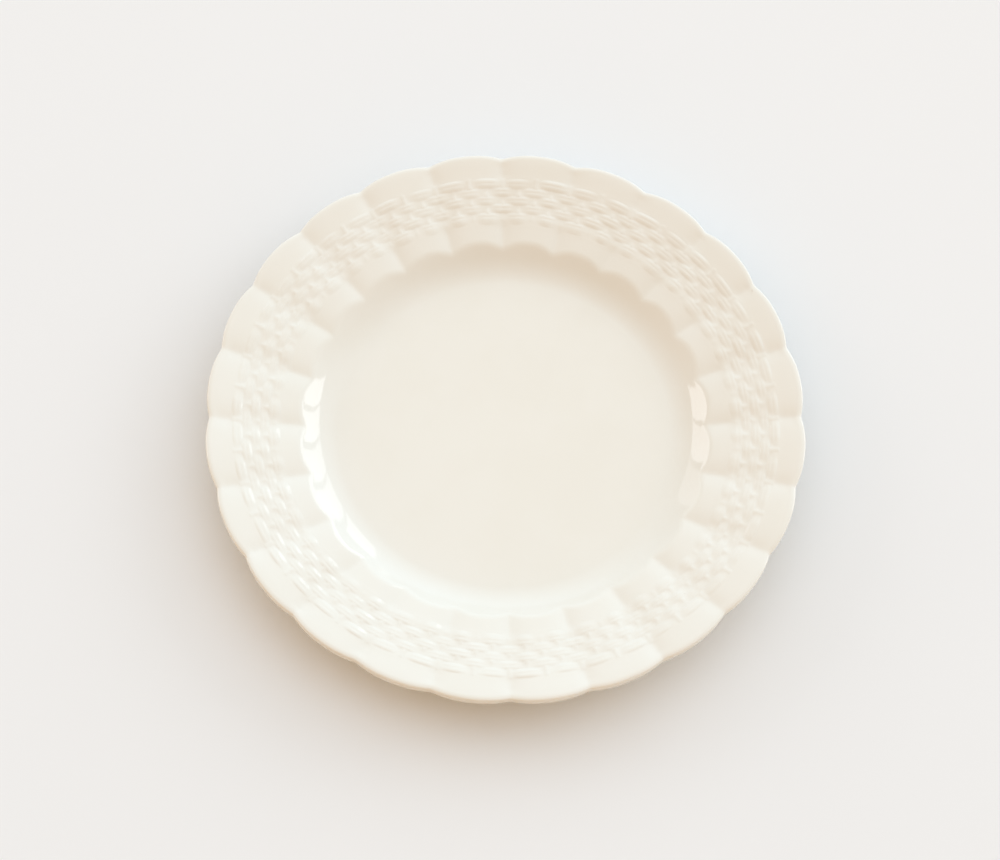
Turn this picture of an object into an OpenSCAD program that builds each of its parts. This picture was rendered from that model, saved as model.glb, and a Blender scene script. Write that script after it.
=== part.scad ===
// Tea plate with a scalloped rim of convex lobes and a moulded basketwork band.
// A fired clay body carries a thin coat of glaze everywhere but on its foot ring.
// Millimetres, +Z up, origin at the centre of the foot ring, on the table.

/* [Plate] */
// Diameter across the lobe crests, over the glaze
plate_d = 170; // [150:1:200]
// Thickness of the clay under the floor of the well
floor_t = 2.8; // [2.2:0.1:4]
// Thickness of the clay where the wall of the well meets the rim
wall_t = 3.8; // [3:0.1:4.5]
// Thickness of the clay at the lip
lip_t = 2.8; // [2.2:0.1:3.2]
// Thickness of the glaze
glaze_t = 0.25; // [0.15:0.05:0.4]

/* [Well] */
// Width of the wall, from the flat floor to the rim
wall_w = 9.8; // [9:0.1:12]
// Height of the wall where two lobes meet
wall_h = 4.3; // [4:0.1:5]
// Share of the wall's width that is straight, next to the rim
wall_straight = 0.2; // [0:0.05:0.4]

/* [Rim] */
// Width of the rim, from the wall to the edge
rim_w = 27.7; // [26:0.1:32]
// Steepness of the rim, as rise over run
rim_slope = 0.24; // [0.18:0.01:0.26]
// Number of lobes
lobe_count = 24; // [12:2:24]
// Fall of the rim from a lobe's crest to the crease between two lobes
lobe_fall = 0.7; // [0.3:0.1:0.9]
// Depth of the notch between two lobes at the edge
notch_depth = 1.2; // [0.5:0.1:2]

/* [Basketwork] */
// Rows of strands
row_count = 5; // [3:1:5]
// Upright stakes in each lobe
stakes_per_lobe = 4; // [2:2:4]
// Width of the plain border outside the band
outer_border = 6.5; // [5:0.1:8]
// Width of the plain border inside the band
inner_border = 7.7; // [7:0.1:9]
// Height of a strand over the rim where it passes over a stake
over_h = 0.15; // [0.1:0.05:0.5]
// Depth of the band under the rim where a strand passes behind a stake
under_h = 0.15; // [0.05:0.05:0.3]

/* [Foot] */
// Distance of the foot ring inside the circle where the wall meets the rim
foot_inset = 9.3; // [8:0.1:12]
// Width of the resting face
foot_w = 3; // [2:0.1:4]
// Height of the foot ring
foot_h = 2; // [1.5:0.1:2.6]

/* [Hidden] */
$fn = 96;

// How far the rounded lip stands out from the rim, and how the rim rolls over to it
lip_round = 0.95;
lip_power = 0.45;
lip_droop = 0.1;
droop_w = 2.8;

// Radii of the bare clay, from the lip inwards
lip_r = plate_d / 2 - glaze_t - lip_round;
verge_r = plate_d / 2 - rim_w;
floor_r = verge_r - wall_w;
band_r = lip_r - outer_border;
row_pitch = (lip_r - outer_border - verge_r - inner_border) / row_count;

// Heights of the bare clay, from the foot upwards
floor_z = foot_h + floor_t;
verge_z = floor_z + wall_h + lobe_fall;
lip_z = verge_z + (lip_r - verge_r) * rim_slope;

// The wall starts as a parabola and ends straight
wall_curve = wall_w * (1 - wall_straight);
wall_slope = 2 * wall_h / (wall_w * (1 + wall_straight));
wall_steps = [0, 0.2, 0.4, 0.6, 0.8];

// Roundness of the edge where the wall turns into the rim, of the creases and of the lobes
verge_soft = 0.45;
verge_step = 0.6;
lip_crease = 0.04;
well_crease = 0.1;
lobe_power = 2.4;
well_fall = 0.4;
notch_power = 2.4;
slope_step = 0.05;

// The foot ring is wider where it joins the body, and the glaze stops short of it
foot_draft = 0.5;
bare_gap = 0.6;
foot_out_r = verge_r - foot_inset + foot_draft;
foot_in_r = verge_r - foot_inset - foot_w - foot_draft;
foot_embed = 1;

// Samples round the plate: stakes on the lobed rings, pairs about each stake in the
// basketwork, and every other stake on the plain turned rings
stakes = lobe_count * stakes_per_lobe;
lobe_pitch = 360 / lobe_count;
stake_pitch = 360 / stakes;
plain_n = stakes / 2;
weave_n = stakes * 2;
strand_flat = 0.3;
row_flat = 0.3;
band_margin = 0.6;

// Share of the way from the lip, 0, to the wall of the well, 1
function inward(r) = max(0, min(1, (lip_r - r) / (lip_r - verge_r)));

// Share of the way from a lobe's crest, 0, to the crease, 1, which is softer near the well
function lobe_share(r, a) =
    let (to_crease = 1 - 2 * abs(a / lobe_pitch - round(a / lobe_pitch)))
    max(0, 1 - norm([to_crease, lip_crease + (well_crease - lip_crease) * inward(r)]));

// Fall of the rim under its crests, which is greater near the well
function fall_at(r, share) = lobe_fall * (1 + well_fall * inward(r)) * pow(share, lobe_power);

// How far the rim rolls over just inside the lip
function droop_at(r) = lip_droop * pow(max(0, 1 - (lip_r - r) / droop_w), 2);

// Height of the rim along the lobe crests
function rim_line(r) = verge_z + (max(r, floor_r) - verge_r) * rim_slope;

// Height of the well's floor and wall
function wall_line(r) =
    let (out = max(0, r - floor_r))
    floor_z + wall_slope * (out < wall_curve ? pow(out, 2) / (2 * wall_curve) : out - wall_curve / 2);

// The lower of two heights, rounded where they cross
function soft_min(a, b, k) = min(a, b) - pow(max(0, k - abs(a - b)), 2) / (4 * k);

// Height of the clay's face at a radius and a share of a lobe
function face_line(r, share) =
    soft_min(wall_line(r), rim_line(r) - fall_at(r, share) - droop_at(r), verge_soft);

// How far outside the verge radius the wall meets the rim
function verge_shift(share) = (lobe_fall - fall_at(verge_r, share)) / (wall_slope - rim_slope);

// Moulded height in the basketwork: a strand is up over every other stake
function weave_relief(stake, row) = (stake + row) % 2 == 0 ? over_h : -under_h;

// Angle of a sample: the basketwork has one each side of a stake
function sample_angle(n, i) =
    n == weave_n
        ? (floor(i / 2) + (i % 2 == 0 ? -strand_flat : strand_flat)) * stake_pitch
        : i * 360 / n;

function polar(r, z, a) = [r * cos(a), r * sin(a), z];

// A direction in the section, turned left by a right angle and made one long
function left_normal(d) = [-d[1], d[0]] / norm(d);

// A point on the face with a moulded height, moved out of the clay by t
function face_point(r, share, relief, a, t) =
    let (
        rise = face_line(r + slope_step, share) - face_line(r - slope_step, share),
        out = left_normal([2 * slope_step, rise]) * t
    )
    polar(r + out[0], face_line(r, share) + relief + out[1], a);

// A plain ring on the face
function face_ring(n, r, t) =
    [for (i = [0 : n - 1])
        let (a = sample_angle(n, i))
        face_point(r, lobe_share(r, a), 0, a, t)];

// A ring that follows the scalloped edge between the wall and the rim
function verge_ring(step, t) =
    [for (i = [0 : stakes - 1])
        let (a = sample_angle(stakes, i), share = lobe_share(verge_r, a))
        face_point(verge_r + verge_shift(share) + step, share, 0, a, t)];

// A ring along one side of a row of strands
function weave_ring(row, side, t) =
    let (r = band_r + (side - row + 0.5) * row_pitch)
    [for (i = [0 : weave_n - 1])
        let (a = sample_angle(weave_n, i))
        face_point(r, lobe_share(r, a), weave_relief(floor(i / 2), row), a, t)];

// A ring on the rounded lip, at a turn from straight up, 90, to straight down, -90
function lip_ring(turn, t) =
    [for (i = [0 : stakes - 1])
        let (
            a = sample_angle(stakes, i),
            share = lobe_share(lip_r, a),
            r = lip_r - notch_depth * pow(share, notch_power),
            top = face_line(r, share),
            half = (top - back_line(r)) / 2,
            out = pow(cos(turn), lip_power),
            up = sign(turn) * pow(abs(sin(turn)), lip_power)
        )
        polar(r + (lip_round + t) * out, top - half + (half + t) * up, a)];

// The turned back, from the lip to the flat under the floor
back_out_z = lip_z - lip_droop - lip_t;
back_verge = [verge_r + 2, rim_line(verge_r + 2) - wall_t];
back_foot = [foot_out_r + bare_gap, foot_h];

// Height of the back under the rim
function back_line(r) =
    back_out_z - (lip_r - r) * (back_out_z - back_verge[1]) / (lip_r - back_verge[0]);

function ring_at(n, p) = [for (i = [0 : n - 1]) polar(p[0], p[1], sample_angle(n, i))];

// Rings of the back, each with its own outward direction
function back_rings(t) =
    let (
        under_rim = left_normal(back_verge - [lip_r, back_out_z]),
        under_wall = left_normal(back_foot - back_verge),
        between = (under_rim + under_wall) / norm(under_rim + under_wall)
    )
    [
        ring_at(plain_n, back_verge + t * between),
        ring_at(plain_n, back_foot + t * [0, -1])
    ];

// All rings from the middle of the face, over the lip, to the foot ring
function coat_rings(t) =
    [
        [[0, 0, floor_z + t]],
        for (s = wall_steps) face_ring(plain_n, floor_r + s * wall_w, t),
        for (step = [-verge_step, verge_step]) verge_ring(step, t),
        face_ring(stakes, verge_r + inner_border - band_margin, t),
        for (row = [row_count : -1 : 1], side = [-row_flat, row_flat]) weave_ring(row, side, t),
        face_ring(stakes, band_r + band_margin, t),
        for (turn = [90, 45, 0, -45, -90]) lip_ring(turn, t),
        each back_rings(t)
    ];

// Triangles between two rings p and q whose points start at a and b, of equal or double
// count. Each quad is cut between its lower corners, which keeps the strands apart.
function strip(p, a, q, b) =
    let (np = len(p), nq = len(q))
    np == 1 ? [for (i = [0 : nq - 1]) [a, b + (i + 1) % nq, b + i]] :
    np == nq ? [for (i = [0 : np - 1])
        let (j = (i + 1) % np)
        each p[i][2] + q[j][2] < p[j][2] + q[i][2]
            ? [[a + i, b + j, b + i], [a + i, a + j, b + j]]
            : [[a + i, a + j, b + i], [a + j, b + j, b + i]]] :
    np < nq ? [for (i = [0 : np - 1])
        let (j = (i + 1) % np, k = (2 * i + 2) % nq)
        each [
            [a + i, b + 2 * i + 1, b + 2 * i],
            [a + i, a + j, b + 2 * i + 1],
            [a + j, b + k, b + 2 * i + 1]
        ]] :
    [for (f = strip(q, b, p, a)) [f[0], f[2], f[1]]];

// A closed solid through a list of rings that starts and ends in a single point
module ring_solid(rings) {
    starts = [for (i = 0, at = 0; i < len(rings); at = at + len(rings[i]), i = i + 1) at];
    polyhedron(
        points = [for (ring = rings) each ring],
        faces = [for (i = [0 : len(rings) - 2])
            each strip(rings[i], starts[i], rings[i + 1], starts[i + 1])]
    );
}

function reversed(list) = [for (i = [len(list) - 1 : -1 : 0]) list[i]];

module foot_ring() {
    rotate_extrude()
        polygon([
            [foot_in_r, foot_h + foot_embed],
            [foot_in_r, foot_h],
            [foot_in_r + foot_draft, 0],
            [foot_out_r - foot_draft, 0],
            [foot_out_r, foot_h],
            [foot_out_r, foot_h + foot_embed]
        ]);
}

// Fired clay: the moulded face, the turned back and the foot ring, all one piece
module biscuit_body() {
    color("#efe6d3") {
        ring_solid([each coat_rings(0), [[0, 0, foot_h]]]);
        foot_ring();
    }
}

// Glaze over the face, round the lip and down the back to the foot ring
module glaze_coat() {
    color("#f3ecdd")
        ring_solid([each coat_rings(glaze_t), each reversed(coat_rings(0))]);
}

// Glaze under the floor, inside the foot ring
module base_glaze() {
    color("#f1ead9")
        translate([0, 0, foot_h - glaze_t])
            cylinder(r = foot_in_r - bare_gap, h = glaze_t);
}

biscuit_body();
glaze_coat();
base_glaze();
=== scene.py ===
"""Cream tea plate with a scalloped rim and moulded basketwork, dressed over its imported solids."""

import logging
import math
from dataclasses import dataclass
from enum import Enum
from typing import Any, Sequence

import bpy
import numpy as np
from mathutils import Matrix, Vector


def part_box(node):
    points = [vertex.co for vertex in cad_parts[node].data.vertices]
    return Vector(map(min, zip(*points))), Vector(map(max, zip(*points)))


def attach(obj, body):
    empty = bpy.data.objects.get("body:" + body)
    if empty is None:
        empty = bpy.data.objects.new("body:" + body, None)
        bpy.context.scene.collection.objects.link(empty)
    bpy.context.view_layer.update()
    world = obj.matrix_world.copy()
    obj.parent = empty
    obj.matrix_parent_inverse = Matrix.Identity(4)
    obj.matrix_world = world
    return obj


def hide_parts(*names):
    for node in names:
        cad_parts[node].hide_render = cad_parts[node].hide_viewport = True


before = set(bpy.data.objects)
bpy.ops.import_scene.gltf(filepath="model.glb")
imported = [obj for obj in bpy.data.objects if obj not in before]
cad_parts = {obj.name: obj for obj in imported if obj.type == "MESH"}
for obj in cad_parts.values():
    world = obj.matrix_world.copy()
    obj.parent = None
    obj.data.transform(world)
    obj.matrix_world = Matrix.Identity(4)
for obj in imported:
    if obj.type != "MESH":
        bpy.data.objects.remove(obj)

LOG = logging.getLogger("tea_plate")
MM = 0.001
ROOT = "root"

# Steps of the spin for the coat, which carries the relief, and for the plainer pieces
COAT_STEPS = 672
PLAIN_STEPS = 192
# Share by which the turned steps are drawn together at the stakes
GATHER = 0.35
# Degrees above which an edge stays crisp
SHARP_ANGLE = 50.0
# Metres within which corners are merged, and mm within which a corner lies on a ring or the axis
MERGE_DISTANCE = 2e-6
RING_MATCH = 2e-3
AXIS_MATCH = 1e-6

Span = tuple[float, float]
Pair = tuple[float, float]
Triple = tuple[float, float, float]
Colour = tuple[float, float, float, float]


class Side(Enum):
    """The part of the plate's section that a ring lies on."""

    FACE = "face"
    LIP = "lip"
    BACK = "back"


@dataclass(frozen=True)
class Ring:
    """One ring of a turned piece.

    It has its side, its radius in mm or its turn round the lip in degrees, and its lift off the
    clay in mm.
    """

    side: Side
    at: float
    lift: float
    woven: bool = False


@dataclass(frozen=True)
class Stretch:
    """A run of even rings: mm past the radii where it starts and ends, and how many rings."""

    start: float
    end: float
    count: int

    def between(self, first_r: float, last_r: float) -> np.ndarray:
        """The rings' radii in mm."""
        return np.linspace(first_r + self.start, last_r + self.end, self.count)


def smooth_step(low: float, high: float, x: np.ndarray) -> np.ndarray:
    """Rise smoothly from 0 at low to 1 at high."""
    t = np.clip((x - low) / (high - low), 0.0, 1.0)
    return t * t * (3.0 - 2.0 * t)


def soft_min(a: np.ndarray, b: np.ndarray, k: float) -> np.ndarray:
    """The lower of two heights, rounded over k where they cross."""
    return np.minimum(a, b) - np.maximum(0.0, k - np.abs(a - b)) ** 2 / (4.0 * k)


def soft_max(a: np.ndarray, b: np.ndarray, k: float) -> np.ndarray:
    """The higher of two heights, rounded over k where they cross."""
    return -soft_min(-a, -b, k)


def quarter_wave(x: np.ndarray) -> np.ndarray:
    """Fall from 1 at 0 to 0 at 1 and at -1, as a cosine does."""
    return np.cos(0.5 * math.pi * x)


@dataclass(frozen=True)
class Basketry:
    """Shape of the basketwork: heights in mm, other sizes in rows across or stakes along."""

    strand_h: float = 0.28
    stake_h: float = 0.19
    pit_depth: float = 0.14
    pit_edge: Span = (0.1, 1.2)
    blend: float = 0.06

    # Section of a strand: its steep outer flank, its gentle inner flank and the groove on top
    fullness: float = 1.04
    outer_flank: float = 0.56
    outer_power: float = 2.0
    inner_flank: float = 0.62
    inner_power: float = 1.4
    end_width: float = 0.8
    groove: float = 0.2
    groove_w: float = 0.12
    dip: Span = (0.16, 0.7)

    # Strands of the first and last rows, which are smoother at the band's edges
    first_fullness: float = 0.92
    first_flank: float = 0.62
    first_reach: float = 0.14
    first_pull: float = 0.15
    last_flank: float = 0.95

    # Stakes, which ramp up to the next strand where they lie open
    stake_low: float = 0.3
    stake_flare: float = 1.1
    stake_w: float = 0.12
    flare_w: float = 0.19
    open_ramp: Span = (0.25, 1.0)
    last_ramp: float = 0.35
    covered_ramp: Span = (0.0, 0.4)
    first_open: float = 0.85
    first_flare: float = 0.55
    first_covered: float = 0.3
    first_ramp: Span = (0.4, 0.9)
    outer_end: Span = (-0.25, 0.0)
    inner_end: Span = (-0.3, 0.5)

    # Unevenness of hand work: sizes, and waves as rate along, rate across and start
    hand_shift: float = 0.07
    hand_fullness: float = 0.16
    hand_wave: Triple = (2.399, 1.7, 0.6)
    hand_reach: float = 0.09
    reach_wave: Triple = (4.1, 2.3, 0.0)

    # Sway of the rows: size, waves round the plate and start
    sway: tuple[Triple, ...] = ((0.03, 5.0, 0.7), (0.02, 13.0, 2.1))

    @staticmethod
    def uneven(number: np.ndarray, row: np.ndarray, wave: Triple) -> np.ndarray:
        """A value from -1 to 1 that differs from strand to strand."""
        along, across, start = wave
        return np.sin(number * along + row * across + start)


@dataclass
class PlateForm:
    """The plate's section and relief, in mm, with the clay's own surface at lift 0."""

    edge_d: float
    height: float
    glaze_t: float = 0.25
    lip_t: float = 2.8
    lip_round: float = 0.95
    lip_power: float = 0.45
    lip_droop: float = 0.1
    droop_w: float = 2.8
    wall_t: float = 3.8
    floor_d: float = 95.0
    verge_d: float = 114.6
    wall_h: float = 4.3
    wall_straight: float = 0.2
    verge_soft: float = 0.45
    rim_slope: float = 0.24

    # Lobes: their notches at the lip, and their fall to the creases
    lobe_count: int = 24
    notch_depth: float = 1.2
    notch_power: float = 2.4
    notch_soft: float = 0.04
    crease_soft: float = 0.1
    lobe_fall: float = 0.7
    lobe_power: float = 2.4
    well_fall: float = 0.4

    # Creases: extra depth on the borders and fill under the basketwork, with where each one fades
    outer_dent: float = 0.2
    inner_dent: float = 0.1
    band_fill: float = 0.16
    dent_w: float = 0.2
    lip_fade: Span = (-2.6, -1.2)
    outer_fade: Span = (-1.6, 1.8)
    inner_fade: Span = (-1.8, 0.8)
    verge_fade: Span = (1.0, 5.7)

    # Basketwork band
    row_count: int = 5
    row_pitch: float = 2.46
    band_d: float = 154.6
    stakes_per_lobe: int = 4
    basketry: Basketry = Basketry()

    # Back and foot
    back_verge_out: float = 2.0
    back_soft: float = 0.5
    foot_d: float = 96.0
    foot_w: float = 3.0
    foot_h: float = 2.0
    foot_draft: float = 0.5
    bare_gap: float = 0.6

    # Half of the step over which a slope is measured
    slope_step: float = 0.05

    def __post_init__(self) -> None:
        """Work out the sizes that follow from the driving ones."""
        self.lip_z = self.height - self.glaze_t + self.lip_droop
        self.lip_r = self.edge_d / 2 - self.glaze_t - self.lip_round
        self.verge_r = self.verge_d / 2
        self.floor_r = self.floor_d / 2
        self.band_r = self.band_d / 2
        self.band_in_r = self.band_r - self.row_count * self.row_pitch
        self.floor_z = float(self.rim_line(self.verge_r)) - self.lobe_fall - self.wall_h
        self.lobe_pitch = math.tau / self.lobe_count
        self.stake_pitch = self.lobe_pitch / self.stakes_per_lobe
        self.foot_out_r = self.foot_d / 2 + self.foot_draft
        self.foot_in_r = self.foot_d / 2 - self.foot_w - self.foot_draft
        self.back_out_z = self.lip_z - self.lip_droop - self.lip_t
        self.back_verge_r = self.verge_r + self.back_verge_out
        self.back_verge_z = float(self.rim_line(self.back_verge_r)) - self.wall_t
        self.coat_end_r = self.foot_out_r + self.bare_gap

    def rim_line(self, r: np.ndarray) -> np.ndarray:
        """Height of the rim along the lobe crests."""
        return self.lip_z - (self.lip_r - r) * self.rim_slope

    def wall_line(self, r: np.ndarray) -> np.ndarray:
        """Height of the well's floor and wall."""
        run = self.verge_r - self.floor_r
        curved = run * (1.0 - self.wall_straight)
        slope = 2.0 * self.wall_h / (run * (1.0 + self.wall_straight))
        out = np.maximum(0.0, r - self.floor_r)
        climb = np.where(out < curved, out ** 2 / (2.0 * curved), out - curved / 2.0)
        return self.floor_z + slope * climb

    def inward(self, r: np.ndarray) -> np.ndarray:
        """Share of the way from the lip, 0, to the wall of the well, 1."""
        return np.clip((self.lip_r - r) / (self.lip_r - self.verge_r), 0.0, 1.0)

    def lobe_share(self, r: float, angle: np.ndarray) -> np.ndarray:
        """Share of the way from a lobe's crest, 0, to the crease, 1, softer near the well."""
        turns = angle / self.lobe_pitch
        to_notch = 1.0 - 2.0 * np.abs(turns - np.round(turns))
        soft = self.notch_soft + (self.crease_soft - self.notch_soft) * self.inward(r)
        return np.maximum(0.0, 1.0 - np.sqrt(to_notch ** 2 + soft ** 2))

    @staticmethod
    def past(radius: float, fade: Span, r: np.ndarray) -> np.ndarray:
        """Rise from 0 to 1 over a fade beside some radius."""
        return smooth_step(radius + fade[0], radius + fade[1], r)

    def dent_at(self, r: np.ndarray) -> np.ndarray:
        """Extra depth of the creases, more on the borders and less under the basketwork."""
        past_in = self.past(self.band_in_r, self.inner_fade, r)
        past_out = self.past(self.band_r, self.outer_fade, r)
        outer = past_out * (1.0 - self.past(self.lip_r, self.lip_fade, r))
        inner = self.past(self.verge_r, self.verge_fade, r) * (1.0 - past_in)
        band = past_in * (1.0 - past_out)
        return self.outer_dent * outer + self.inner_dent * inner - self.band_fill * band

    def face_line(self, r: np.ndarray, share: np.ndarray) -> np.ndarray:
        """Height of the clay's face, without the basketwork."""
        fall = self.lobe_fall * (1.0 + self.well_fall * self.inward(r))
        rim = self.rim_line(np.maximum(r, self.floor_r)) - fall * share ** self.lobe_power
        rim = rim - self.lip_droop * np.maximum(0.0, (r - self.lip_r) / self.droop_w + 1.0) ** 2
        rim = rim - self.dent_at(r) * np.exp(-((1.0 - share) / self.dent_w) ** 2)
        return soft_min(self.wall_line(r), rim, self.verge_soft)

    def back_line(self, r: np.ndarray) -> np.ndarray:
        """Height of the turned back, from the lip to the foot."""
        rim_rise = (self.back_out_z - self.back_verge_z) / (self.lip_r - self.back_verge_r)
        wall_rise = (self.back_verge_z - self.foot_h) / (self.back_verge_r - self.coat_end_r)
        under_rim = self.back_out_z - (self.lip_r - r) * rim_rise
        under_wall = self.back_verge_z - (self.back_verge_r - r) * wall_rise
        return np.maximum(soft_min(under_rim, under_wall, self.back_soft), self.foot_h)

    def strand(self, row: np.ndarray, across: np.ndarray, stake: np.ndarray) -> np.ndarray:
        """Share of its full height that a row's strand has at some points.

        Args:
            row: The row that is asked about at each point, 0 at the outside.
            across: Rows from the band's outer edge.
            stake: Stakes from the first lobe's crest.

        Returns:
            The share, 0 beside the strand and where it passes behind a stake.
        """
        kind = self.basketry
        first, last = row == 0, row == self.row_count - 1
        pull = np.where(first, kind.first_pull, 0.0)
        along = stake - pull * np.sin(math.pi * stake / 2) + row
        number = np.floor(along / 2.0) % (self.lobe_count * self.stakes_per_lobe // 2)
        hand = kind.uneven(number, row, kind.hand_wave)
        reach = kind.hand_reach * kind.uneven(number, row, kind.reach_wave)
        reach = reach + np.where(first, kind.first_reach, 0.0)
        up = 1.0 - smooth_step(*kind.dip, np.abs(along % 2.0 - 1.0) - reach)
        offset = across - row - 0.5 + kind.hand_shift * hand
        outside = np.where(first, kind.first_flank, kind.outer_flank)
        inside = np.where(last, kind.last_flank, kind.inner_flank)
        half = np.where(offset < 0.0, outside, inside)
        half = half * (kind.end_width + (1.0 - kind.end_width) * up)
        power = np.where(offset < 0.0, kind.outer_power, kind.inner_power)
        crown = quarter_wave(np.clip(np.abs(offset) / half, 0.0, 1.0) ** power)
        groove = 1.0 - kind.groove * np.exp(-(offset / kind.groove_w) ** 2)
        full = np.where(first, kind.first_fullness, kind.fullness) + kind.hand_fullness * hand
        woven = (row >= 0) & (row < self.row_count)
        return np.where(woven, full * crown * groove * up, 0.0)

    def rib(self, row: np.ndarray, across: np.ndarray, stake: np.ndarray) -> np.ndarray:
        """Height of the nearest stake at some points, as a share of a stake's usual height.

        Args:
            row: The row that each point lies in, 0 at the outside.
            across: Rows from the band's outer edge.
            stake: Stakes from the first lobe's crest.

        Returns:
            The share, 0 beside the stakes and past their ends.
        """
        kind = self.basketry
        nearest = np.round(stake)
        covered = (nearest + row) % 2.0 > 0.5
        into_row = np.clip(across - row, 0.0, 1.0)
        ramp = smooth_step(*kind.open_ramp, into_row)
        ramp = ramp * np.where(row == self.row_count - 1, kind.last_ramp, 1.0)
        flare = np.where(covered, 1.0 - smooth_step(*kind.covered_ramp, into_row), ramp)
        emerging = kind.first_covered * smooth_step(*kind.first_ramp, into_row)
        outermost = np.where(covered, emerging, kind.first_open + kind.first_flare * flare)
        rise = np.where(row == 0, outermost, kind.stake_low + kind.stake_flare * flare)
        half = kind.stake_w + kind.flare_w * flare
        rib = rise * quarter_wave(np.clip((stake - nearest) / half, -1.0, 1.0)) ** 2
        rib = rib * smooth_step(*kind.outer_end, across)
        return rib * smooth_step(*kind.inner_end, self.row_count - across)

    def weave(self, r: np.ndarray, angle: np.ndarray) -> np.ndarray:
        """Moulded height of the basketwork over the plain rim.

        Args:
            r: Radius of each point in mm.
            angle: Angle of each point in radians.

        Returns:
            The height in mm, 0 outside the band.
        """
        kind = self.basketry
        stake = angle / self.stake_pitch
        across = (self.band_r - r) / self.row_pitch
        for size, waves, start in kind.sway:
            across = across + size * np.sin(waves * angle + start)
        row = np.clip(np.floor(across), 0, self.row_count - 1)
        near_rows = [self.strand(row + step, across, stake) for step in (-1, 0, 1)]
        strands = kind.strand_h * np.maximum.reduce(near_rows)
        stakes = kind.stake_h * self.rib(row, across, stake)
        from_edge = np.minimum(across, self.row_count - across)
        ground = kind.pit_depth * smooth_step(*kind.pit_edge, from_edge)
        return soft_max(strands, stakes, kind.blend) - ground

    def section(self, ring: Ring, angle: np.ndarray) -> tuple[np.ndarray, np.ndarray]:
        """Radius and height of a ring at some angles.

        Args:
            ring: The ring.
            angle: The angles in radians.

        Returns:
            Radii and heights in mm.
        """
        share = self.lobe_share(self.lip_r if ring.side is Side.LIP else ring.at, angle)
        scallop = self.notch_depth * share ** self.notch_power
        if ring.side is Side.LIP:
            turn = math.radians(ring.at)
            out = math.cos(turn) ** self.lip_power
            up = math.copysign(abs(math.sin(turn)) ** self.lip_power, turn)
            r = self.lip_r - scallop
            top = self.face_line(r, share)
            half = (top - self.back_line(r)) / 2
            reach = self.lip_round + ring.lift
            return r + reach * out, top - half + (half + ring.lift) * up
        drawn_in = smooth_step(self.band_r, self.lip_r, np.full_like(angle, ring.at))
        r = ring.at - scallop * drawn_in
        step = self.slope_step
        if ring.side is Side.FACE:
            ahead, behind = self.face_line(r + step, share), self.face_line(r - step, share)
            rise = (ahead - behind) / (2 * step)
            z = self.face_line(r, share)
            if ring.woven:
                z = z + self.weave(r, angle)
            length = np.hypot(1.0, rise)
            return r - ring.lift * rise / length, z + ring.lift / length
        rise = (self.back_line(r + step) - self.back_line(r - step)) / (2 * step)
        length = np.hypot(1.0, rise)
        return r + ring.lift * rise / length, self.back_line(r) - ring.lift / length


class Bench:
    """Edit-mode steps that are shared by the turned pieces."""

    @staticmethod
    def deselect() -> None:
        """Go to object mode with nothing selected."""
        if bpy.context.object and bpy.context.object.mode != "OBJECT":
            bpy.ops.object.mode_set(mode="OBJECT")
        bpy.ops.object.select_all(action="DESELECT")

    @staticmethod
    def turn(name: str, profile: Sequence[Pair], steps: int) -> bpy.types.Object:
        """Draw a half section from a single corner and spin it about the plate's axis.

        Args:
            name: The new piece's name.
            profile: Radius and height of each corner in mm, from axis to axis.
            steps: Steps of the spin.

        Returns:
            The closed turned piece.
        """
        Bench.deselect()
        start = Vector((profile[0][0], 0.0, profile[0][1])) * MM
        bpy.ops.mesh.primitive_plane_add(size=MM, location=start)
        piece = bpy.context.object
        piece.name = name
        piece.data.name = name
        bpy.ops.object.transform_apply(location=True, rotation=True, scale=True)
        bpy.ops.object.mode_set(mode="EDIT")
        bpy.ops.mesh.select_mode(type="VERT")
        bpy.ops.mesh.select_all(action="SELECT")
        bpy.ops.mesh.merge(type="CENTER")
        for (r0, z0), (r1, z1) in zip(profile, profile[1:]):
            move = Vector((r1 - r0, 0.0, z1 - z0)) * MM
            bpy.ops.mesh.extrude_region_move(TRANSFORM_OT_translate={"value": move})
        bpy.ops.mesh.select_all(action="SELECT")
        bpy.ops.mesh.spin(steps=steps, angle=math.tau, center=(0, 0, 0), axis=(0, 0, 1))
        bpy.ops.mesh.select_all(action="SELECT")
        bpy.ops.mesh.remove_doubles(threshold=MERGE_DISTANCE)
        bpy.ops.mesh.normals_make_consistent(inside=False)
        bpy.ops.object.mode_set(mode="OBJECT")
        return piece

    @staticmethod
    def smooth(piece: bpy.types.Object) -> None:
        """Shade a piece smooth, with its sharp edges left crisp."""
        Bench.deselect()
        bpy.context.view_layer.objects.active = piece
        piece.select_set(True)
        bpy.ops.object.shade_smooth_by_angle(angle=math.radians(SHARP_ANGLE))


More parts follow.
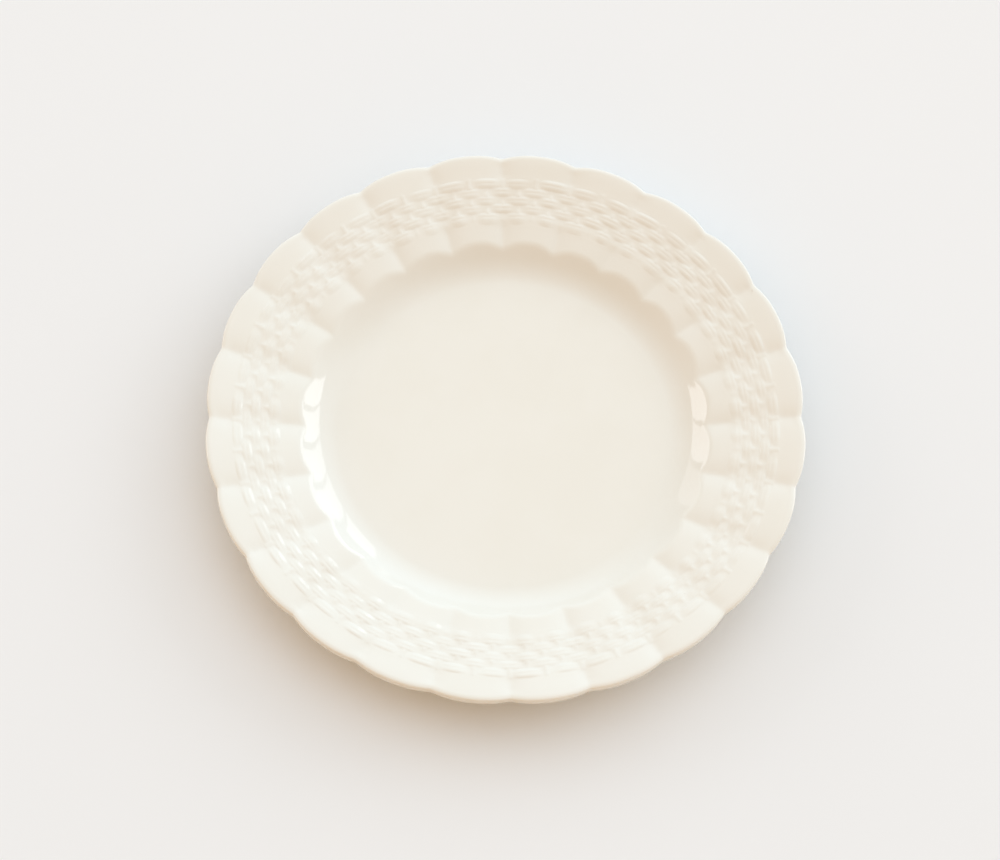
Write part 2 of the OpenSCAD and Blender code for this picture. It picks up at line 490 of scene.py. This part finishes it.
@dataclass
class RingPiece:
    """A piece turned through rings and then pressed to the lobes and the basketwork."""

    form: PlateForm
    name: str
    steps: int
    # Rings of a surface that doesn't show: mm past the floor's edge, the well's edge and the lip,
    # and degrees round the lip
    hidden_floor: tuple[float, ...] = (0.0, 4.0)
    hidden_verge: tuple[float, ...] = (-4.0, -1.0, 1.5)
    hidden_lip: tuple[float, ...] = (90.0, 30.0, -30.0, -90.0)
    hidden_back: float = -4.0

    def rings(self) -> list[Ring]:
        """The rings of the section, in order from axis to axis."""
        raise NotImplementedError

    def tail(self) -> list[Pair]:
        """Plain turned corners after the rings, as radius and height in mm."""
        return []

    def hidden_rings(self, lift: float) -> list[Ring]:
        """A few rings for a surface that doesn't show, from the middle of the face to the foot."""
        form = self.form
        floor = [form.floor_r + past for past in self.hidden_floor]
        verge = [form.verge_r + past for past in self.hidden_verge]
        face = (0.0, *floor, *verge, form.band_in_r, form.band_r)
        back = (form.lip_r + self.hidden_back, form.back_verge_r, form.coat_end_r)
        rings = [Ring(Side.FACE, r, lift) for r in face]
        rings += [Ring(Side.LIP, turn, lift) for turn in self.hidden_lip]
        return rings + [Ring(Side.BACK, r, lift) for r in back]

    def build(self) -> bpy.types.Object:
        """Turn the section, press the rings and shade the piece."""
        rings = self.rings()
        crest = np.zeros(1)
        profile = [tuple(float(v[0]) for v in self.form.section(ring, crest)) for ring in rings]
        piece = Bench.turn(self.name, profile + self.tail(), self.steps)
        self.press(piece, rings, np.array(profile))
        Bench.smooth(piece)
        return piece

    def press(self, piece: bpy.types.Object, rings: list[Ring], profile: np.ndarray) -> None:
        """Move each turned corner to its ring's own section at its angle.

        Args:
            piece: The turned piece.
            rings: The rings that it was turned through.
            profile: Radius and height of each ring at a lobe crest, in mm.
        """
        mesh = piece.data
        place = np.zeros(len(mesh.vertices) * 3)
        mesh.vertices.foreach_get("co", place)
        place = place.reshape(-1, 3) / MM
        r = np.hypot(place[:, 0], place[:, 1])
        angle = np.arctan2(place[:, 1], place[:, 0])
        stake = angle / self.form.stake_pitch
        gather = GATHER / math.tau * np.sin(math.tau * stake) * self.form.stake_pitch
        relief = np.zeros(len(r))
        for ring, (ring_r, ring_z) in zip(rings, profile):
            if ring_r < AXIS_MATCH:
                continue
            at = np.abs(r - ring_r) + np.abs(place[:, 2] - ring_z) < RING_MATCH
            turned = angle[at] - gather[at]
            new_r, new_z = self.form.section(ring, turned)
            place[at, 0] = new_r * np.cos(turned)
            place[at, 1] = new_r * np.sin(turned)
            place[at, 2] = new_z
            if ring.woven:
                relief[at] = self.form.weave(np.full_like(turned, ring.at), turned)
        mesh.vertices.foreach_set("co", (place * MM).ravel())
        height = mesh.attributes.new("relief", "FLOAT", "POINT")
        height.data.foreach_set("value", relief.astype(np.float32))
        mesh.update()


@dataclass
class GlazeCoat(RingPiece):
    """The glaze over the face, round the lip and down the back, as a thin closed coat."""

    inner_lift: float = -0.3
    # Rings over the outside, closest together in the basketwork
    floor: tuple[float, ...] = (0.0, 20.0, 40.0)
    wall: Stretch = Stretch(0.0, -1.2, 12)
    verge: Stretch = Stretch(-0.9, 2.5, 13)
    inner_border: Stretch = Stretch(2.9, -1.7, 5)
    band: Stretch = Stretch(-1.3, 0.6, 75)
    outer_border: Stretch = Stretch(1.0, -0.5, 7)
    lip_rings: int = 11
    back: Stretch = Stretch(-1.2, 0.6, 6)
    # Where the coat thins out at the foot: mm before its end, and share of its thickness
    thin_end: tuple[Pair, ...] = ((0.2, 0.8), (0.0, 0.4))

    def rings(self) -> list[Ring]:
        """Rings over the outside from the middle to the foot, then back along the inside."""
        form = self.form
        lift = form.glaze_t
        wall = self.wall.between(form.floor_r, form.verge_r)
        verge = self.verge.between(form.verge_r, form.verge_r)
        inner_border = self.inner_border.between(form.verge_r, form.band_in_r)
        band = self.band.between(form.band_in_r, form.band_r)
        outer_border = self.outer_border.between(form.band_r, form.lip_r)
        lip = np.linspace(90.0, -90.0, self.lip_rings)
        back = self.back.between(form.lip_r, form.coat_end_r)
        rings = [Ring(Side.FACE, r, lift) for r in (*self.floor, *wall, *verge, *inner_border)]
        rings += [Ring(Side.FACE, r, lift, woven=True) for r in band]
        rings += [Ring(Side.FACE, r, lift) for r in outer_border]
        rings += [Ring(Side.LIP, turn, lift) for turn in lip]
        rings += [Ring(Side.BACK, r, lift) for r in back]
        for before, thin in self.thin_end:
            rings.append(Ring(Side.BACK, form.coat_end_r + before, thin * lift))
        return rings + self.hidden_rings(self.inner_lift)[::-1]


@dataclass
class BareClay(RingPiece):
    """The fired clay under the coat, which shows only at the foot ring."""

    lift: float = -0.34
    # Rounding of the foot's corners, and the fillet where it meets the back
    ease: float = 0.5
    ease_steps: int = 4
    fillet_w: float = 0.3
    fillet_h: float = 0.25

    def rings(self) -> list[Ring]:
        """Rings just under the coat, from the middle of the face to the foot."""
        return self.hidden_rings(self.lift)

    def tail(self) -> list[Pair]:
        """The foot ring with eased corners, and the flat inside it."""
        form, ease = self.form, self.ease
        flat = form.foot_h
        low = flat - self.fillet_h
        outside = form.foot_d / 2 - ease
        inside = form.foot_d / 2 - form.foot_w + ease
        turns = np.radians(np.linspace(0.0, 90.0, self.ease_steps + 1))
        swing = [(ease * math.cos(turn), ease - ease * math.sin(turn)) for turn in turns]
        corners = [(form.coat_end_r, flat), (form.foot_out_r + self.fillet_w, flat)]
        corners += [(form.foot_out_r, low)]
        corners += [(outside + out, z) for out, z in swing]
        corners += [(inside - out, z) for out, z in swing[::-1]]
        corners += [(form.foot_in_r, low), (form.foot_in_r - self.fillet_w, flat)]
        return corners + [(0.0, flat)]


@dataclass
class BaseGlaze:
    """The glaze on the flat inside the foot ring."""

    form: PlateForm
    name: str
    steps: int
    # Corners of the soft edge: mm in from the rim and up from the lower face
    soft_edge: tuple[Pair, ...] = ((0.0, 0.15), (0.08, 0.05), (0.25, 0.0), (8.0, 0.0))

    def build(self) -> bpy.types.Object:
        """Turn a thin disc with a soft lower edge."""
        form = self.form
        low = form.foot_h - form.glaze_t
        edge = form.foot_in_r - form.bare_gap
        profile = [(0.0, form.foot_h), (edge, form.foot_h)]
        profile += [(edge - inset, low + up) for inset, up in self.soft_edge]
        profile += [(edge / 2, low), (0.0, low)]
        piece = Bench.turn(self.name, profile, self.steps)
        Bench.smooth(piece)
        return piece


class Field:
    """A number that changes over a surface, with the usual operators written as Math nodes."""

    def __init__(self, nodes: "NodeBench", socket: bpy.types.NodeSocket) -> None:
        """Wrap an output socket."""
        self.nodes = nodes
        self.socket = socket

    def _math(self, operation: str, *values: Any) -> "Field":
        """Add one Math node."""
        return self.nodes.add("ShaderNodeMath", {"operation": operation}, dict(enumerate(values)))

    def __add__(self, other: Any) -> "Field":
        """Sum."""
        return self._math("ADD", self, other)

    def __radd__(self, other: Any) -> "Field":
        """Sum with the number first."""
        return self._math("ADD", other, self)

    def __rsub__(self, other: Any) -> "Field":
        """Difference with the number first."""
        return self._math("SUBTRACT", other, self)

    def __mul__(self, other: Any) -> "Field":
        """Product."""
        return self._math("MULTIPLY", self, other)

    def between(self, low: float, high: float) -> "Field":
        """Rise from 0 at low to 1 at high, smoothly and clamped."""
        settings = {"interpolation_type": "SMOOTHSTEP"}
        inputs = {"Value": self, "From Min": low, "From Max": high}
        return self.nodes.add("ShaderNodeMapRange", settings, inputs)


class NodeBench:
    """The node tree of a material or of the room."""

    def __init__(self, owner: bpy.types.Material | bpy.types.World) -> None:
        """Empty the owner's tree."""
        owner.use_nodes = True
        self.owner = owner
        self.tree = owner.node_tree
        self.tree.nodes.clear()

    @classmethod
    def material(cls, name: str) -> "NodeBench":
        """Start a material."""
        return cls(bpy.data.materials.new(name))

    def add(
        self, kind: str, settings: dict[str, Any], inputs: dict[Any, Any], output: Any = 0
    ) -> Field:
        """Add a node, set it up and link it.

        Args:
            kind: The node's type.
            settings: Properties of the node, set first.
            inputs: Values or fields by socket name or number.
            output: Name or number of the socket to hand back.

        Returns:
            The node's output.
        """
        node = self.tree.nodes.new(kind)
        for key, value in settings.items():
            setattr(node, key, value)
        for key, value in inputs.items():
            if isinstance(value, Field):
                self.tree.links.new(value.socket, node.inputs[key])
            else:
                node.inputs[key].default_value = value
        return Field(self, node.outputs[output])

    def mix(self, factor: Any, first: Any, second: Any) -> Field:
        """Blend two colours, by the colour sockets' numbers in a Mix node."""
        settings = {"data_type": "RGBA"}
        return self.add("ShaderNodeMix", settings, {0: factor, 6: first, 7: second}, 2)

    def noise(self, scale: float, detail: float, rough: float = 0.5) -> Field:
        """A cloudy value from 0 to 1 with features of about 1 / scale metres."""
        place = self.add("ShaderNodeTexCoord", {}, {}, "Object")
        inputs = {"Vector": place, "Scale": scale, "Detail": detail, "Roughness": rough}
        return self.add("ShaderNodeTexNoise", {}, inputs)

    def bump(self, height: Field, strength: float, distance: float) -> Field:
        """A normal that follows a height, with the bump's full depth in metres."""
        inputs = {"Strength": strength, "Distance": distance, "Height": height}
        return self.add("ShaderNodeBump", {}, inputs, "Normal")

    def surface(self, inputs: dict[str, Any]) -> Field:
        """A Principled shader."""
        return self.add("ShaderNodeBsdfPrincipled", {}, inputs)

    def finish(self, shader: Field, output: str = "ShaderNodeOutputMaterial") -> Any:
        """Link the shader to a new output node and hand back the tree's owner."""
        node = self.tree.nodes.new(output)
        self.tree.links.new(shader.socket, node.inputs["Surface"])
        return self.owner


@dataclass(frozen=True)
class CreamGlaze:
    """Glossy cream glaze, warmer where it pools in the relief and darkened there as painted shade,
    with faint mottling and specks.
    """

    thin: Colour = (0.86, 0.835, 0.753, 1.0)
    cloud: Colour = (0.845, 0.817, 0.728, 1.0)
    # Pooled glaze in the relief's hollows, also used as painted shade in the basketwork's pits
    pooled_and_shade: Colour = (0.81, 0.75, 0.63, 1.0)
    speck: Colour = (0.50, 0.40, 0.28, 1.0)
    # Strength of the clouds, pools (pooled glaze and painted shade) and specks, and the values
    # between which each one comes in
    cloud_share: float = 0.6
    cloud_range: Span = (0.35, 0.7)
    pool_shade_share: float = 0.08
    pool_shade_range: Span = (0.04, 0.24)
    speck_share: float = 0.2
    speck_range: Span = (0.82, 0.86)
    # Scale and detail of each noise
    cloud_noise: Pair = (60.0, 3.0)
    speck_noise: Pair = (420.0, 1.0)
    wave_noise: Pair = (110.0, 2.0)
    gloss_noise: Pair = (90.0, 2.0)
    gloss: float = 0.05
    gloss_spread: float = 0.04

    def material(self) -> bpy.types.Material:
        """Build the glaze."""
        bench = NodeBench.material("cream_glaze")
        relief = bench.add("ShaderNodeAttribute", {"attribute_name": "relief"}, {}, "Fac")
        # Painted shade in the hollows of the relief, partly standing for real pooled glaze
        pool_shade = (0.0 - relief).between(*self.pool_shade_range)
        mottle = bench.noise(*self.cloud_noise).between(*self.cloud_range)
        body = bench.mix(mottle * self.cloud_share, self.thin, self.cloud)
        body = bench.mix(pool_shade * self.pool_shade_share, body, self.pooled_and_shade)
        dots = bench.noise(*self.speck_noise).between(*self.speck_range)
        body = bench.mix(dots * self.speck_share, body, self.speck)
        wave = bench.noise(*self.wave_noise)
        inputs = {
            "Base Color": body,
            "Roughness": self.gloss + bench.noise(*self.gloss_noise) * self.gloss_spread,
            "IOR": 1.5,
            "Coat Weight": 0.5,
            "Coat Roughness": 0.02,
            "Normal": bench.bump(wave, strength=0.05, distance=0.001),
        }
        return bench.finish(bench.surface(inputs))


@dataclass(frozen=True)
class FiredClay:
    """Bare earthenware, buff and grainy, a little soiled where it stands."""

    buff: Colour = (0.80, 0.71, 0.56, 1.0)
    dark: Colour = (0.66, 0.55, 0.41, 1.0)
    # Scale and detail of each noise, and the grain's roughness
    grain_noise: Triple = (900.0, 4.0, 0.6)
    patch_noise: Pair = (70.0, 3.0)
    patch_range: Span = (0.35, 0.75)
    patch_share: float = 0.5
    grain_share: float = 0.3
    matt: float = 0.75
    matt_spread: float = 0.15

    def material(self) -> bpy.types.Material:
        """Build the clay."""
        bench = NodeBench.material("fired_clay")
        grain = bench.noise(*self.grain_noise)
        patch = bench.noise(*self.patch_noise).between(*self.patch_range)
        soil = patch * self.patch_share + grain * self.grain_share
        inputs = {
            "Base Color": bench.mix(soil, self.buff, self.dark),
            "Roughness": self.matt + patch * self.matt_spread,
            "Normal": bench.bump(grain, strength=0.25, distance=0.0003),
        }
        return bench.finish(bench.surface(inputs))


@dataclass(frozen=True)
class PaleFloor:
    """A plain pale floor with a trace of unevenness."""

    light: Colour = (0.867, 0.867, 0.857, 1.0)
    shade: Colour = (0.852, 0.852, 0.842, 1.0)
    noise: Pair = (12.0, 3.0)

    def material(self) -> bpy.types.Material:
        """Build the floor's finish."""
        bench = NodeBench.material("pale_floor")
        body = bench.mix(bench.noise(*self.noise), self.light, self.shade)
        inputs = {"Base Color": body, "Roughness": 0.9, "Specular IOR Level": 0.1}
        return bench.finish(bench.surface(inputs))


@dataclass(frozen=True)
class Window:
    """A row of upright panes that light the plate.

    Each pane has its bearing, in degrees from the camera's right towards the back, and its watts.
    All have the same elevation in degrees, distance in metres and size in metres.
    """

    name: str
    panes: tuple[Pair, ...]
    rise: float
    size: Pair
    reach: float = 2.4
    colour: Triple = (0.92, 0.98, 1.06)


@dataclass
class Studio:
    """Floor, soft window light and camera."""

    # Camera: lens, sensor and places in mm, angles in degrees, near clip in metres
    lens: float = 97.1
    sensor: float = 36.0
    elevation: float = 65.8
    azimuth: float = 3.55
    roll: float = 3.5
    distance: float = 761.5
    target: Pair = (-1.5, -4.1)
    target_z: float = 15.1
    near_clip: float = 0.01
    windows: tuple[Window, ...] = (
        Window(
            "right_pane",
            ((19.5, 2.8), (30.2, 2.5), (41.0, 1.9), (51.7, 1.6), (62.5, 1.5)),
            rise=21.0,
            size=(0.35, 1.1),
        ),
        Window(
            "left_pane",
            ((139.5, 0.9), (152.0, 2.2), (164.5, 2.8)),
            rise=22.0,
            size=(0.42, 0.93),
        ),
    )
    # Room: the cool light from the sky's side, the warm light from the other, and where they meet
    sky_way: Triple = (0.32, 0.825, 0.46)
    sky_range: Span = (-0.48, 0.95)
    sky: Colour = (1.11, 1.28, 1.43, 1.0)
    fill: Colour = (0.7, 0.415, 0.165, 1.0)
    white: Colour = (1.0, 1.0, 1.0, 1.0)
    floor_w: float = 4.0

    def camera(self) -> None:
        """Place the camera at the photograph's angle."""
        lift = math.radians(self.elevation)
        turn = Matrix.Rotation(math.radians(self.azimuth), 3, "Z")
        back = Vector((0.0, -math.cos(lift), math.sin(lift)))
        side = Vector((1.0, 0.0, 0.0))
        top = back.cross(side)
        roll = math.radians(self.roll)
        right = side * math.cos(roll) + top * math.sin(roll)
        above = top * math.cos(roll) - side * math.sin(roll)
        aim = Vector((*self.target, 0.0)) + back * self.distance
        place = turn @ aim + Vector((0.0, 0.0, self.target_z))
        columns = Matrix((turn @ right, turn @ above, turn @ back)).transposed().to_4x4()
        bpy.ops.object.camera_add()
        camera = bpy.context.object
        camera.name = "camera"
        camera.matrix_world = Matrix.Translation(place * MM) @ columns
        camera.data.sensor_width = self.sensor
        camera.data.lens = self.lens
        camera.data.clip_start = self.near_clip
        bpy.context.scene.camera = camera

    def lamp(self, window: Window, bearing: float, power: float) -> None:
        """Add one pane of a window as a soft light that faces the plate.

        Args:
            window: The window.
            bearing: The pane's bearing in degrees.
            power: The pane's watts.
        """
        flat = math.radians(bearing + self.azimuth)
        up = math.radians(window.rise)
        way = (math.cos(flat) * math.cos(up), math.sin(flat) * math.cos(up), math.sin(up))
        place = Vector(way) * window.reach
        bpy.ops.object.light_add(type="AREA", location=place)
        lamp = bpy.context.object
        lamp.name = f"{window.name}_{bearing:.0f}"
        lamp.rotation_euler = place.to_track_quat("Z", "Y").to_euler()
        lamp.data.shape = "RECTANGLE"
        lamp.data.size, lamp.data.size_y = window.size
        lamp.data.energy = power
        lamp.data.color = window.colour

    def lights(self) -> None:
        """Add a tall window behind on the right and a weaker one on the left."""
        for window in self.windows:
            for bearing, power in window.panes:
                self.lamp(window, bearing, power)

    def room(self) -> None:
        """Light the plate from a pale room, which looks plain white itself."""
        bench = NodeBench(bpy.data.worlds.new("room"))
        way = bench.add("ShaderNodeTexCoord", {}, {}, "Generated")
        settings = {"operation": "DOT_PRODUCT"}
        toward = bench.add("ShaderNodeVectorMath", settings, {0: way, 1: self.sky_way}, "Value")
        glow = bench.mix(toward.between(*self.sky_range), self.fill, self.sky)
        rays = ("Is Camera Ray", "Is Glossy Ray", "Is Transmission Ray")
        seen, glossy, through = (bench.add("ShaderNodeLightPath", {}, {}, ray) for ray in rays)
        backdrop = bench.mix(seen + glossy + through, glow, self.white)
        shader = bench.add("ShaderNodeBackground", {}, {"Color": backdrop, "Strength": 1.0})
        bpy.context.scene.world = bench.finish(shader, "ShaderNodeOutputWorld")

    def floor(self) -> None:
        """Add the floor that the plate stands on."""
        Bench.deselect()
        bpy.ops.mesh.primitive_plane_add(size=self.floor_w, location=(0, 0, 0))
        floor = bpy.context.object
        floor.name = "floor"
        floor.data.materials.append(PaleFloor().material())


def dress(piece: bpy.types.Object, material: bpy.types.Material, node: str) -> None:
    """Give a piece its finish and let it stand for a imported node.

    Args:
        piece: The new piece.
        material: Its finish.
        node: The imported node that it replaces.
    """
    piece.data.materials.clear()
    piece.data.materials.append(material)
    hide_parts(node)
    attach(piece, ROOT)
    LOG.info("%s: %d faces", piece.name, len(piece.data.polygons))


def corners(box: tuple[Any, Any]) -> list[list[float]]:
    """A box as plain lists of numbers."""
    return [[float(v) for v in corner] for corner in box]


def main() -> None:
    """Build the plate, its finishes and the studio."""
    logging.basicConfig(level=logging.INFO, format="%(message)s")
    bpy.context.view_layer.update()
    low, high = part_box("glaze_coat")
    form = PlateForm(edge_d=(high.x - low.x) / MM, height=high.z / MM)
    glaze = CreamGlaze().material()
    clay = FiredClay().material()
    dress(GlazeCoat(form, "cream_coat", COAT_STEPS).build(), glaze, "glaze_coat")
    dress(BareClay(form, "bare_clay", PLAIN_STEPS).build(), clay, "biscuit_body")
    dress(BaseGlaze(form, "base_disc", PLAIN_STEPS).build(), glaze, "base_glaze")
    studio = Studio()
    studio.camera()
    studio.lights()
    studio.room()
    studio.floor()
    bpy.context.scene.view_settings.view_transform = "Standard"


if __name__ == "__main__":
    main()
